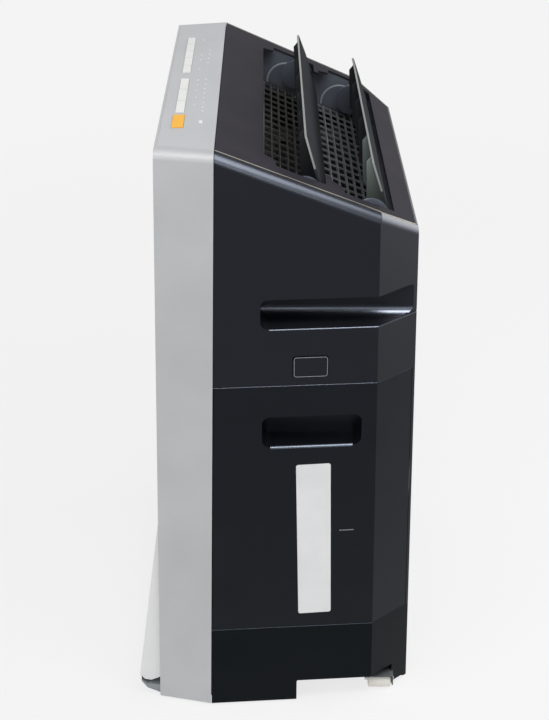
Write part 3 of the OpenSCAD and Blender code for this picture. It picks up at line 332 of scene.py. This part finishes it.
def select_only(obj, kind, test):
    """Opens the piece for editing with only those faces or edges selected that pass the test."""
    bpy.ops.object.mode_set(mode="EDIT")
    bpy.ops.mesh.select_mode(type=kind)
    bpy.ops.mesh.select_all(action="DESELECT")
    bpy.ops.object.mode_set(mode="OBJECT")
    for item in obj.data.edges if kind == "EDGE" else obj.data.polygons:
        item.select = test(item)
    bpy.ops.object.mode_set(mode="EDIT")


def select_edges(obj, test):
    """The same for edges, where the test gets the two end points."""
    select_only(obj, "EDGE", lambda edge: test(*(obj.data.vertices[k].co for k in edge.vertices)))


def extrude(x, y, z):
    """Pulls what is selected out by that much."""
    bpy.ops.mesh.extrude_region_move(TRANSFORM_OT_translate={"value": (x * MM, y * MM, z * MM)})


def settle(obj, name, finish, body):
    """Applies the place of a piece, gives it its finish and lets it ride on its body."""
    bpy.ops.object.mode_set(mode="OBJECT")
    bpy.ops.object.select_all(action="DESELECT")
    obj.select_set(True)
    bpy.context.view_layer.objects.active = obj
    bpy.ops.object.transform_apply(location=True, rotation=True, scale=True)
    bpy.ops.object.shade_smooth_by_angle(angle=math.radians(35))
    obj.name = obj.data.name = name
    obj.data.materials.clear()
    obj.data.materials.append(finish)
    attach(obj, body)


def lens(name, x, y, length, width):
    """Indicator lens: a low pad with rounded ends and a domed top, standing on the panel."""
    bpy.ops.object.select_all(action="DESELECT")
    middle = PANEL_TOP + (LENS_STAND - LENS_ROOT) / 2 * MM
    bpy.ops.mesh.primitive_cube_add(size=1, location=(x * MM, (y + SHIFT) * MM, middle))
    obj = bpy.context.object
    obj.scale = (length * MM, width * MM, (LENS_STAND + LENS_ROOT) * MM)
    bpy.ops.object.transform_apply(location=False, rotation=False, scale=True)
    select_edges(obj, lambda a, b: abs(a.z - b.z) > 0.1 * MM)
    bpy.ops.mesh.bevel(offset=min(length, width) * 0.48 * MM, segments=5, affect="EDGES")
    select_only(obj, "FACE", lambda face: face.normal.z > 0.9)
    bpy.ops.mesh.inset(thickness=0.15 * MM, depth=0.08 * MM)
    settle(obj, name, LENS, "machine")


def cut_outline(points, grow):
    """Cuts the open plane down to a convex outline (mm, counter-clockwise), grown by that much."""
    for a, b in zip(points, points[1:] + points[:1]):
        out = Vector((b[1] - a[1], a[0] - b[0], 0)).normalized()
        bpy.ops.mesh.select_all(action="SELECT")
        bpy.ops.mesh.bisect(plane_co=(Vector((*a, 0)) + out * grow) * MM, plane_no=out, clear_outer=True)


def thicken(obj, thick, ease):
    """Gives an open sheet its thickness, half to each side, and eases its edges."""
    bpy.ops.object.mode_set(mode="OBJECT")
    wall = obj.modifiers.new("sheet_wall", "SOLIDIFY")
    wall.thickness, wall.offset = thick * MM, 0
    rim = obj.modifiers.new("eased_rim", "BEVEL")
    rim.width, rim.segments = ease * MM, 2
    for step in ("sheet_wall", "eased_rim"):
        bpy.ops.object.modifier_apply(modifier=step)


def sheet():
    """A wide open plane in edit mode, ready for cutting."""
    bpy.ops.object.select_all(action="DESELECT")
    bpy.ops.mesh.primitive_plane_add(size=600 * MM)
    bpy.ops.object.mode_set(mode="EDIT")
    return bpy.context.object


def louvre_highlight_rim(body, tip_half, root_half):
    """Pale rim along a louvre's free edge and its two slanted ends, a painted highlight for the light on
    those eased edges; the louvre is root_half wide to each side where the slanted ends begin, and tip_half
    at the free edge."""
    obj = sheet()
    cut_outline([(-tip_half, BLADE_TIP), (tip_half, BLADE_TIP), (root_half, BLADE_SLANT), (root_half, 0),
                 (-root_half, 0), (-root_half, BLADE_SLANT)], 0.35)
    bpy.ops.mesh.select_all(action="SELECT")
    bpy.ops.mesh.inset(thickness=0.8 * MM)
    bpy.ops.mesh.delete(type="FACE")
    bpy.ops.mesh.select_all(action="SELECT")
    bpy.ops.mesh.bisect(plane_co=(0, BLADE_RIM_END * MM, 0), plane_no=(0, 1, 0), clear_outer=True)
    thicken(obj, 1.8, 0.2)
    lift = Matrix.Translation((0, 0, BLADE_SKIN * MM))
    obj.matrix_world = Matrix.Translation(PIVOTS[body]) @ LOUVRE_LEAN @ lift
    settle(obj, body + "_rim", PAINTED_LOUVRE_HIGHLIGHT, body)


def along(start_at, x):
    """Place beside a point, by that much along X."""
    return Matrix.Translation(start_at + Vector((x * MM, 0, 0)))


def rib_painted_light(name, body, x):
    """Pale cheek on the near side of a louvre's rib: painted light, a lighter skin for the side of the rib
    that the lamps light.
    """
    obj = sheet()
    cut_outline(RIB_OUTLINE, 0)
    thicken(obj, 0.5, 0.12)
    obj.matrix_world = along(PIVOTS[body], x) @ LOUVRE_LEAN @ SECTION
    settle(obj, name, RIB_PAINTED_LIGHT, body)


def boss_highlight_rim(name, x, run):
    """Bright upper rim of a boss on the duct's end wall, standing out to both sides of the wall: a painted
    highlight, pale where the rim catches the light.
    """
    bpy.ops.object.select_all(action="DESELECT")
    bpy.ops.mesh.primitive_circle_add(vertices=72, radius=BOSS_RADIUS * MM, fill_type="NOTHING")
    obj = bpy.context.object
    bpy.ops.object.mode_set(mode="EDIT")
    bpy.ops.mesh.select_mode(type="EDGE")
    bpy.ops.mesh.select_all(action="SELECT")
    bpy.ops.mesh.bisect(plane_co=(0, -9 * MM, 0), plane_no=(0, -1, 0), clear_outer=True)
    bpy.ops.mesh.select_all(action="SELECT")
    extrude(0, 0, BOSS_RIM_DEEP)
    thicken(obj, 1.8, 0.25)
    turn = Matrix((SLOPE_RUN, SLOPE_OUT, (1, 0, 0))).transposed().to_4x4()
    centre = SHOULDER + (SLOPE_RUN * run - SLOPE_OUT * BOSS_DROP) * MM
    obj.matrix_world = along(centre, x - BOSS_RIM_DEEP / 2) @ turn
    settle(obj, name, PAINTED_BOSS_HIGHLIGHT, "machine")


def end_disc(name, body, x):
    """Smooth grey cap over a louvre's round end."""
    bpy.ops.object.select_all(action="DESELECT")
    bpy.ops.mesh.primitive_circle_add(vertices=64, radius=DISC_RADIUS * MM, fill_type="NGON")
    obj = bpy.context.object
    thicken(obj, DISC_THICK, 0.3)
    obj.matrix_world = along(PIVOTS[body], x) @ SECTION
    settle(obj, name, DISC_GREY, body)


def roller_bracket(name, side):
    """Grey bracket of a rear roller: a strip over it, and a cheek by its outer end that is let into the
    base's wall."""
    (inner, outer), (front, rear) = STRIP_X, STRIP_Y
    low, high = sorted((side * inner, side * outer))
    obj = sheet()
    cut_outline([(low, front), (high, front), (high, rear), (low, rear)], 0)
    select_edges(obj, lambda a, b: min(a.y, b.y) > (rear - 0.1) * MM)
    extrude(0, 0, -CHEEK_HIGH)
    select_edges(obj, lambda a, b: (abs(a.z - b.z) > CHEEK_HIGH / 2 * MM
                                    and max(abs(a.x), abs(b.x)) < (inner + 0.5) * MM))
    extrude(-side * CHEEK_ROOT, 0, 0)
    thicken(obj, 1.4, 0.3)
    obj.location = (0, 0, STRIP_Z * MM)
    settle(obj, name, BRACKET_GREY, "machine")


def side_place(y, z, proud):
    """Point on the black side, in metres, standing proud of it by that many millimetres."""
    x = SHOULDER_X - (y - SHOULDER_Y) * math.tan(SIDE_TURN) - (SHOULDER_Z - z) * SIDE_LEAN
    return Vector((x + proud, y + SHIFT, z)) * MM


def outline_ring(name, y, z, wide, high, corner, line, proud, finish, body):
    """Thin rounded frame lying on the black side, its edges eased."""
    bpy.ops.object.select_all(action="DESELECT")
    bpy.ops.mesh.primitive_plane_add(size=1, location=(0, 0, 0))
    obj = bpy.context.object
    obj.scale = (wide * MM, high * MM, 1)
    bpy.ops.object.transform_apply(location=False, rotation=False, scale=True)
    bpy.ops.object.mode_set(mode="EDIT")
    bpy.ops.mesh.select_all(action="SELECT")
    bpy.ops.mesh.bevel(offset=corner * MM, segments=6, affect="VERTICES")
    bpy.ops.mesh.select_all(action="SELECT")
    bpy.ops.mesh.inset(thickness=line * MM)
    bpy.ops.mesh.delete(type="FACE")
    thicken(obj, 0.3, 0.1)
    obj.rotation_euler = (math.pi / 2, 0, math.pi / 2 + SIDE_TURN)
    obj.location = side_place(y, z, proud)
    settle(obj, name, finish, body)


for row, (y, places) in INDICATOR_ROWS.items():
    for k, x in enumerate(places):
        lens("%s_%d" % (row, k), x, y, LENS_SIDE, LENS_SIDE)
lens("humidity_window", 123, -77, 8, 3)
louvre_highlight_rim("front_louvre", 151.4, 166.4)
louvre_highlight_rim("rear_louvre", 151.4, 156.4)
for side in (-1, 1):
    for k, run in enumerate(BOSS_RUNS):
        boss_highlight_rim("boss_rim_%d_%d" % (k, side + 1), side * BOSS_WALL, run)
    end_disc("front_disc_%d" % (side + 1), "front_louvre", side * 165.25)
    end_disc("rear_disc_%d" % (side + 1), "rear_louvre", side * 155.25)
    roller_bracket("roller_bracket_%d" % (side + 1), side)
for k, x in enumerate(RIB_PLACES):
    rib_painted_light("rear_rib_face_%d" % k, "rear_louvre", x)
# The button's outline is a painted highlight: a pale line for the light on its bevelled edge; the level mark
# is print
outline_ring("button_painted_highlight_outline", 22.8, 426.5, 31.4, 21.1, 2.6, 0.42, 1.05, PRINT_AND_HIGHLIGHT, "button")
outline_ring("level_mark", 61.3, 232.4, 14.6, 0.9, 0.3, 0.28, 0.02, PRINT_AND_HIGHLIGHT, "tank")


# Studio: pale floor and sky, soft lamps
BACK = "#f5f5f5"
SKY_LIGHT = 0.45
FLOOR_SIZE, FLOOR_DROP = 12, 0.5
# The floor's plain tone gives way near the object, where its shadow falls: distances (m) and shares
PLAIN_REACH, PLAIN_SHARE = (0.3, 1.8), (0.84, 0.975)
DARK_GLOSS = ("housing_black", "cover_black", "base_black", "button_black", "duct_dark")


def seen_rays(tree):
    """1 for rays that show a thing to the camera, straight, through or mirrored; 0 for rays of light."""
    path = add(tree, "ShaderNodeLightPath")
    seen = add(tree, "ShaderNodeMath", {"operation": "MAXIMUM"},
               _0=(path, "Is Camera Ray"), _1=(path, "Is Transmission Ray"))
    return add(tree, "ShaderNodeMath", {"operation": "MAXIMUM"},
               _0=(seen, "Value"), _1=(path, "Is Glossy Ray"))


def sky():
    """White light for the object, the plain tone for the camera."""
    world = bpy.data.worlds.new("studio")
    scene.world = world
    world.use_nodes = True
    tree = world.node_tree
    tree.nodes.clear()
    soft = add(tree, "ShaderNodeBackground", Color=colour("#ffffff"), Strength=SKY_LIGHT)
    plain = add(tree, "ShaderNodeBackground", Color=colour(BACK), Strength=1.0)
    mix = add(tree, "ShaderNodeMixShader", _0=(seen_rays(tree), "Value"),
              _1=(soft, "Background"), _2=(plain, "Background"))
    add(tree, "ShaderNodeOutputWorld", Surface=(mix, "Shader"))


def studio_floor():
    """Pale floor that keeps the object's soft shadow."""
    bpy.ops.mesh.primitive_plane_add(size=FLOOR_SIZE, location=(0, 0, -FLOOR_DROP * MM))
    floor = bpy.context.object
    floor.name = "floor"
    made = bpy.data.materials.new("pale_studio_floor")
    made.use_nodes = True
    tree = made.node_tree
    tree.nodes.clear()
    place = add(tree, "ShaderNodeTexCoord")
    reach = add(tree, "ShaderNodeVectorMath", {"operation": "LENGTH"}, _0=(place, "Object"))
    share = add(tree, "ShaderNodeMapRange", Value=(reach, "Value"), From_Min=PLAIN_REACH[0],
                From_Max=PLAIN_REACH[1], To_Min=PLAIN_SHARE[0], To_Max=PLAIN_SHARE[1])
    seen = add(tree, "ShaderNodeMath", {"operation": "MULTIPLY"},
               _0=(seen_rays(tree), "Value"), _1=(share, "Result"))
    paint = add(tree, "ShaderNodeBsdfDiffuse", Color=colour(BACK))
    plain = add(tree, "ShaderNodeEmission", Color=colour(BACK), Strength=1.0)
    mix = add(tree, "ShaderNodeMixShader", _0=(seen, "Value"), _1=(paint, "BSDF"), _2=(plain, "Emission"))
    add(tree, "ShaderNodeOutputMaterial", Surface=(mix, "Shader"))
    floor.data.materials.append(made)


def gloss_group():
    """The dark gloss mouldings, which the reflectors are there for."""
    group = bpy.data.collections.new("dark_gloss_mouldings")
    for part in frame["record"]["subparts"]:
        if part["material_slot"] in DARK_GLOSS:
            group.objects.link(nodes[part["node"]])
    return group


def lamp(name, place, target, size, watts, shines_on=None):
    """Soft lamp (places and sizes in metres). With shines_on it is a reflector, seen only as a highlight on
    those pieces."""
    data = bpy.data.lights.new(name, "AREA")
    data.shape = "RECTANGLE"
    data.size, data.size_y = size
    data.energy = watts
    made = bpy.data.objects.new(name, data)
    scene.collection.objects.link(made)
    made.location = place
    made.rotation_mode = "QUATERNION"
    made.rotation_quaternion = (Vector(target) - Vector(place)).to_track_quat("-Z", "Y")
    if shines_on:
        made.visible_diffuse = False
        made.light_linking.receiver_collection = shines_on


sky()
studio_floor()
lamp("edge_strip", (0.69, 0.6, 1.85), (0.17, 0.6, 0.57), (1.8, 0.3), 14)
lamp("front_fill", (1.2, -1.6, 0.9), (0.1, 0.0, 0.35), (1.0, 1.2), 12)
lamp("rear_softbox", (-0.05, 1.05, 0.85), (0.15, 0.1, 0.5), (0.8, 0.5), 6)
lamp("cheek_softbox", (1.25, -0.6, 1.7), (0.15, -0.1, 0.6), (0.7, 0.7), 3)
# Reflectors for the rounded edges, the grips and the seams
dark_gloss = gloss_group()
lamp("top_reflector", (0.95, 0.6, 1.82), (0.85, -0.13, 0.72), (1.8, 0.75), 85, dark_gloss)
lamp("over_reflector", (1.05, 0.22, 1.85), (0.18, 0.1, 0.45), (0.7, 0.5), 120, dark_gloss)
lamp("corner_reflector", (-0.2, 1.15, 0.74), (0.15, 0.15, 0.6), (1.8, 0.6), 22, dark_gloss)
lamp("corner_card", (0.4, 1.1, 0.2), (0.17, 0.2, 0.35), (1.2, 0.5), 2, dark_gloss)
lamp("near_reflector", (1.75, 0.33, 1.07), (0.2, 0.05, 0.6), (0.9, 0.33), 21, dark_gloss)
